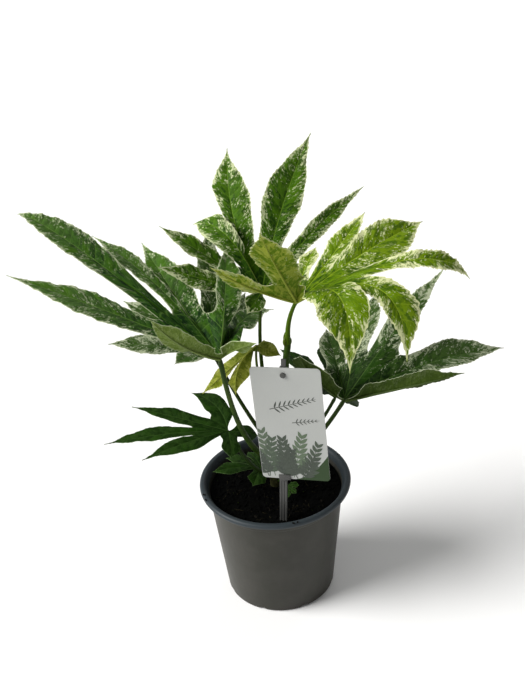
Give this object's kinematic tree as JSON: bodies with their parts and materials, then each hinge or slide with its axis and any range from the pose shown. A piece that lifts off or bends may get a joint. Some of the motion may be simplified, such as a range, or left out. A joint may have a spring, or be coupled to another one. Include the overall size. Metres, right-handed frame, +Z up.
{
  "type": "potted fatsia japonica",
  "caption": "Young fatsia japonica with long-stalked, deeply lobed, cream-speckled leaves, rooted in a round plastic nursery pot with a label card on a stake.",
  "frame": {"origin": "centre of the pot's flat bottom", "axes": "+Z up from the pot's bottom through its mouth, -Y toward the side that the label faces, +X to the right seen from that side"},
  "size_m": [0.4943, 0.2457, 0.4992],
  "materials": {
    "pot_plastic": "taupe-grey moulded plastic, slate blue-grey on the rim, finely scuffed",
    "compost": "black moist peat compost with crumbs, fibres and moss bits",
    "stem_bark": "green-brown young bark with leaf scars",
    "label_card": "light grey-white printed plastic card with a green corner",
    "stake_plastic": "grey-lilac ribbed plastic",
    "leaf_variegated": "dark green leathery leaf, densely speckled cream toward its toothed margins, olive beneath",
    "leaf_young": "soft yellow-green young leaf with cream margins, paler beneath",
    "leaf_green": "plain dark green glossy leaf with paler veins"
  },
  "bodies": {
    "root": {"pot": "pot_plastic", "soil": "compost", "stem": "stem_bark", "label_card": "label_card", "label_stake": "stake_plastic", "leaf_left_large": "leaf_variegated", "leaf_top": "leaf_variegated", "leaf_right": "leaf_variegated", "leaf_young_right": "leaf_young", "leaf_young_hanging": "leaf_young", "leaf_back_right": "leaf_green", "leaf_low_left": "leaf_green", "leaf_back_left": "leaf_variegated", "leaf_soil_left": "leaf_green", "leaf_soil_right": "leaf_green"}
  },
  "joints": []
}
